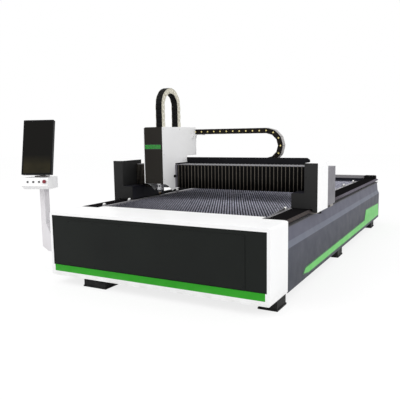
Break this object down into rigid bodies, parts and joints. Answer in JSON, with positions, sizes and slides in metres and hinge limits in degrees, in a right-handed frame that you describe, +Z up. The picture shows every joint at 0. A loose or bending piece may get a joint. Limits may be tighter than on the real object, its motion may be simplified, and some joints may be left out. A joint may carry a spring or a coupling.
{
  "type": "fiber laser cutting machine",
  "caption": "Flat-bed fiber laser cutting machine: slatted table, gantry with bellows and drag chains, vertical cutting head and a swivelling operator console.",
  "frame": {"origin": "on the floor under the middle of the bed", "axes": "+X across the bed to the right as seen from the front housing, +Y along the bed from the front housing to the rear, +Z up"},
  "size_m": [2.9324, 4.85, 1.973],
  "materials": {
    "white_paint": "satin white powder coat",
    "black_paint": "satin black powder coat",
    "panel_black": "satin black powder coat",
    "grey_paint": "grey structural paint",
    "side_grey": "blue-grey powder coat",
    "green_paint": "bright green paint",
    "stripe_green": "bright green paint",
    "pale_grey": "light grey paint",
    "foot_iron": "black cast iron",
    "guide_steel": "ground steel",
    "slat_steel": "cut mild steel",
    "roller_white": "white plastic",
    "saddle_black": "satin black paint",
    "foot_cream": "cream paint",
    "motor_black": "black motor paint",
    "bellows_cloth": "coated black cloth",
    "chain_plastic": "black glass-filled plastic",
    "machined_plate": "machined",
    "display_green": "dark display with green light",
    "latch_black": "black plastic",
    "head_silver": "anodised silver",
    "nozzle_brass": "turned copper alloy",
    "monitor_black": "black plastic",
    "screen_dark": "dark screen glass",
    "button_dark": "dark plastic",
    "stop_red": "dark red plastic"
  },
  "bodies": {
    "bed": {"bed_beams": "grey_paint", "bed_cross_tubes": "grey_paint", "machine_feet": "foot_iron", "front_housing": "white_paint", "front_panel": "panel_black", "front_access_cover": "panel_black", "front_green_strip": "green_paint", "side_panels": "side_grey", "side_stripes": "stripe_green", "rear_panel": "side_grey", "rear_crossbar": "pale_grey", "rail_covers": "black_paint", "rail_end_blocks": "black_paint", "y_guides": "guide_steel", "table_rails": "grey_paint", "table_slats": "slat_steel", "table_rollers": "roller_white", "guide_ramp": "pale_grey", "slag_plates": "slat_steel", "console_column": "white_paint"},
    "gantry": {"gantry_beam": "grey_paint", "saddles": "saddle_black", "saddle_feet": "foot_cream", "y_sliders": "guide_steel", "end_front_covers": "black_paint", "end_side_covers": "white_paint", "end_rear_covers": "pale_grey", "y_motors": "motor_black", "x_guides": "guide_steel", "bellows_right": "bellows_cloth", "bellows_left": "bellows_cloth", "cable_tray": "black_paint", "x_chain_lower": "chain_plastic"},
    "y_drive_right": {"y_pinion_right": "guide_steel"},
    "y_drive_left": {"y_pinion_left": "guide_steel"},
    "beam_chain_loop": {"x_chain_loop": "chain_plastic"},
    "head_carriage": {"carriage_plate": "machined_plate", "carriage_motors": "motor_black", "head_housing": "white_paint", "head_face_panel": "black_paint", "head_display": "display_green", "chain_arm": "white_paint", "x_chain_upper": "chain_plastic", "z_chain_legs": "chain_plastic"},
    "cover_latch": {"head_latch": "latch_black"},
    "x_drive": {"x_pinion": "guide_steel"},
    "z_drive": {"z_screw": "guide_steel"},
    "cutting_head": {"z_slide": "machined_plate", "laser_head": "head_silver", "nozzle": "nozzle_brass"},
    "head_chain_loop": {"z_chain_loop": "chain_plastic"},
    "console_head": {"control_box": "white_paint", "monitor_bracket": "black_paint"},
    "monitor": {"monitor_frame": "monitor_black", "monitor_glass": "screen_dark"},
    "start_button": {"start_button": "button_dark"},
    "pause_button": {"pause_button": "button_dark"},
    "reset_button": {"reset_button": "button_dark"},
    "emergency_stop": {"emergency_stop": "stop_red"}
  },
  "joints": [
    {"name": "gantry_travel", "type": "slide", "parent": "bed", "child": "gantry", "axis": [0, 1, 0], "range_m": [-0.58, 2.5]},
    {"name": "y_pinion_right_turn", "type": "hinge", "parent": "gantry", "child": "y_drive_right", "pos_m": [1.162, -1.143, 0.66], "axis": [0, 0, 1], "continuous": true},
    {"name": "y_pinion_left_turn", "type": "hinge", "parent": "gantry", "child": "y_drive_left", "pos_m": [-1.162, -1.143, 0.66], "axis": [0, 0, 1], "continuous": true},
    {"name": "carriage_travel", "type": "slide", "parent": "gantry", "child": "head_carriage", "axis": [1, 0, 0], "range_m": [0, 1.42], "deforming": ["bellows_right", "bellows_left", "x_chain_upper", "x_chain_lower"]},
    {"name": "beam_chain_travel", "type": "slide", "parent": "gantry", "child": "beam_chain_loop", "axis": [1, 0, 0], "range_m": [0, 0.71]},
    {"name": "x_pinion_turn", "type": "hinge", "parent": "head_carriage", "child": "x_drive", "pos_m": [-0.735, -1.033, 1.1201], "axis": [0, 1, 0], "continuous": true},
    {"name": "latch_turn", "type": "hinge", "parent": "head_carriage", "child": "cover_latch", "pos_m": [-0.529, -1.08, 0.978], "axis": [1, 0, 0], "range_deg": [0, 90]},
    {"name": "head_travel", "type": "slide", "parent": "head_carriage", "child": "cutting_head", "axis": [0, 0, 1], "range_m": [-0.045, 0.075], "deforming": ["z_chain_legs"]},
    {"name": "z_screw_turn", "type": "hinge", "parent": "head_carriage", "child": "z_drive", "pos_m": [-0.646, -1.1, 1], "axis": [0, 0, 1], "continuous": true},
    {"name": "head_chain_travel", "type": "slide", "parent": "head_carriage", "child": "head_chain_loop", "axis": [0, 0, 1], "range_m": [-0.0225, 0.0375]},
    {"name": "console_swivel", "type": "hinge", "parent": "bed", "child": "console_head", "pos_m": [-1.576, -2.064, 0.905], "axis": [0, 0, 1], "range_deg": [-60, 60]},
    {"name": "monitor_tilt", "type": "hinge", "parent": "console_head", "child": "monitor", "pos_m": [-1.55896, -2.10683, 1.32648], "axis": [0.9291, 0.3697, 0], "range_deg": [-5, 13.1]},
    {"name": "start_press", "type": "slide", "parent": "console_head", "child": "start_button", "axis": [-0.3516, 0.8836, -0.3091], "range_m": [0, 0.003], "stiffness_N_per_m": 600},
    {"name": "pause_press", "type": "slide", "parent": "console_head", "child": "pause_button", "axis": [-0.3516, 0.8836, -0.3091], "range_m": [0, 0.003], "stiffness_N_per_m": 600},
    {"name": "reset_press", "type": "slide", "parent": "console_head", "child": "reset_button", "axis": [-0.3516, 0.8836, -0.3091], "range_m": [0, 0.003], "stiffness_N_per_m": 600},
    {"name": "stop_press", "type": "slide", "parent": "console_head", "child": "emergency_stop", "axis": [-0.3516, 0.8836, -0.3091], "range_m": [0, 0.004], "stiffness_N_per_m": 1200}
  ],
  "couplings": [
    {"joint": "y_pinion_right_turn", "follows": "gantry_travel", "rad_per_m": 31.546},
    {"joint": "y_pinion_left_turn", "follows": "gantry_travel", "rad_per_m": -31.546},
    {"joint": "beam_chain_travel", "follows": "carriage_travel", "ratio": 0.5},
    {"joint": "x_pinion_turn", "follows": "carriage_travel", "rad_per_m": 41.667},
    {"joint": "head_chain_travel", "follows": "head_travel", "ratio": 0.5},
    {"joint": "z_screw_turn", "follows": "head_travel", "rad_per_m": 628.32}
  ]
}
